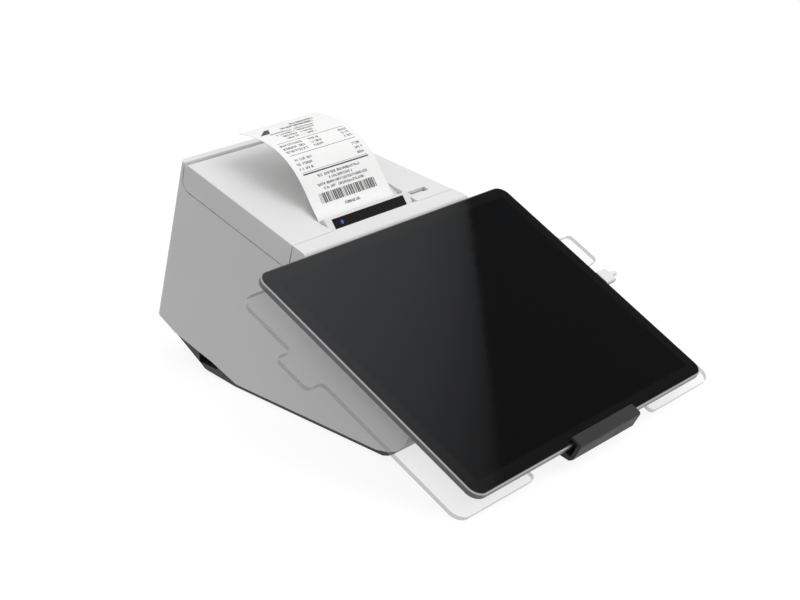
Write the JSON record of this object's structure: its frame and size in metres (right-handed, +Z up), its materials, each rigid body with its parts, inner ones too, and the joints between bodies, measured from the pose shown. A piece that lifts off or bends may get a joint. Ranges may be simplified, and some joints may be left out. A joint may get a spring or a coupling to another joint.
{
  "type": "receipt printer",
  "caption": "Desktop thermal receipt printer with a hinged sloping lid, a curled receipt, and a clear sheet and hook that hold a tablet on its front.",
  "frame": {"origin": "on the counter, under the middle of the base", "axes": "+X to the right seen from the customer's side of the tablet, +Y to the rear, +Z up"},
  "size_m": [0.315, 0.3584, 0.1724],
  "materials": {
    "white_case": "fine-textured moulded plastic",
    "dark_case": "dark textured plastic",
    "foot_rubber": "matt rubber",
    "steel": "plain steel",
    "zinc_screw": "zinc-plated",
    "paper_white": "thermal paper",
    "core_card": "wound card",
    "platen_rubber": "ground rubber",
    "gear_plastic": "natural acetal",
    "grey_plastic": "moulded plastic",
    "head_ceramic": "glazed head strip",
    "sink_aluminium": "extruded aluminium",
    "display_black": "polished window",
    "light_blue": "lit lens",
    "board_green": "solder mask",
    "chip_black": "moulded package",
    "socket_black": "moulded connector",
    "clear_acrylic": "clear polished sheet",
    "pad_clear": "soft translucent pad",
    "hook_black": "black moulding",
    "lining_black": "soft lining",
    "tablet_metal": "anodised dark grey",
    "tablet_glass": "polished cover glass",
    "plug_white": "moulded plug"
  },
  "bodies": {
    "printer": {"base_screws": "zinc_screw", "base_tray": "dark_case", "board_chips": "chip_black", "board_posts": "grey_plastic", "clear_holder": "clear_acrylic", "connector_panel": "dark_case", "cutter_frame": "steel", "cutter_motor": "grey_plastic", "dc_socket": "socket_black", "display_frame": "white_case", "display_window": "display_black", "drawer_socket": "socket_black", "feed_motor": "grey_plastic", "front_cover": "white_case", "head_bracket": "steel", "head_springs": "steel", "heat_sink": "sink_aluminium", "hinge_pin": "steel", "holder_pads": "pad_clear", "holder_screws": "zinc_screw", "holder_spacers": "grey_plastic", "hook_lining": "lining_black", "idler_pin": "steel", "lever_rod": "steel", "main_board": "board_green", "main_case": "white_case", "network_socket": "socket_black", "paper_bucket": "dark_case", "paper_web": "paper_white", "print_head": "head_ceramic", "rubber_feet": "foot_rubber", "status_light": "light_blue", "tablet_hook": "hook_black", "usb_sockets": "socket_black"},
    "lid": {"lid_shell": "white_case", "lid_frame": "steel", "fixed_blade": "steel", "receipt": "paper_white"},
    "platen": {"platen_roller": "platen_rubber", "platen_shaft": "steel", "platen_gear": "gear_plastic"},
    "roll": {"paper_roll": "paper_white", "roll_core": "core_card"},
    "idler": {"idler_gear": "gear_plastic"},
    "rotor": {"motor_pinion": "gear_plastic", "motor_shaft": "steel"},
    "blade": {"moving_blade": "steel"},
    "lever": {"release_lever": "white_case"},
    "rocker": {"power_switch": "socket_black"},
    "tablet": {"tablet_body": "tablet_metal", "tablet_glass": "tablet_glass"},
    "volume": {"volume_keys": "tablet_metal"},
    "power": {"power_key": "tablet_metal"},
    "plug": {"charge_plug": "plug_white", "plug_sleeve": "plug_white"}
  },
  "joints": [
    {"name": "lid_hinge", "type": "hinge", "parent": "printer", "child": "lid", "pos_m": [0, 0.10922, 0.14666], "axis": [-1, 0, 0], "range_deg": [0, 86]},
    {"name": "roll_spin", "type": "hinge", "parent": "printer", "child": "roll", "pos_m": [0, 0.07508, 0.09084], "axis": [1, 0, 0], "continuous": true},
    {"name": "platen_spin", "type": "hinge", "parent": "lid", "child": "platen", "pos_m": [0, 0.02247, 0.11497], "axis": [1, 0, 0], "continuous": true},
    {"name": "idler_spin", "type": "hinge", "parent": "printer", "child": "idler", "pos_m": [0, 0.02385, 0.09958], "axis": [1, 0, 0], "continuous": true},
    {"name": "motor_spin", "type": "hinge", "parent": "printer", "child": "rotor", "pos_m": [0, 0.01351, 0.08921], "axis": [1, 0, 0], "continuous": true},
    {"name": "blade_slide", "type": "slide", "parent": "printer", "child": "blade", "axis": [0, 0.9655, 0.2605], "range_m": [0, 0.005], "stiffness_N_per_m": 40},
    {"name": "lever_pull", "type": "hinge", "parent": "printer", "child": "lever", "pos_m": [0.0585, 0.01372, 0.10329], "axis": [1, 0, 0], "range_deg": [0, 6], "stiffness_Nm_per_rad": 0.3, "springref_deg": -11.46},
    {"name": "rocker_tilt", "type": "hinge", "parent": "printer", "child": "rocker", "pos_m": [0.042, 0.11546, 0.01681], "axis": [1, 0, 0], "range_deg": [0, 10]},
    {"name": "tablet_lift", "type": "slide", "parent": "printer", "child": "tablet", "axis": [0, 0.8415, 0.5402], "range_m": [0, 0.025]},
    {"name": "volume_press", "type": "slide", "parent": "tablet", "child": "volume", "axis": [-1, 0, 0], "range_m": [0, 0.00025], "stiffness_N_per_m": 2000},
    {"name": "power_press", "type": "slide", "parent": "tablet", "child": "power", "axis": [0, -0.8686, -0.4955], "range_m": [0, 0.00025], "stiffness_N_per_m": 2000},
    {"name": "plug_pull", "type": "slide", "parent": "tablet", "child": "plug", "axis": [1, 0, 0], "range_m": [0, 0.02]}
  ],
  "couplings": [
    {"joint": "platen_spin", "follows": "roll_spin", "ratio": 7.6},
    {"joint": "idler_spin", "follows": "roll_spin", "ratio": -4.4333},
    {"joint": "motor_spin", "follows": "roll_spin", "ratio": 8.8667}
  ]
}
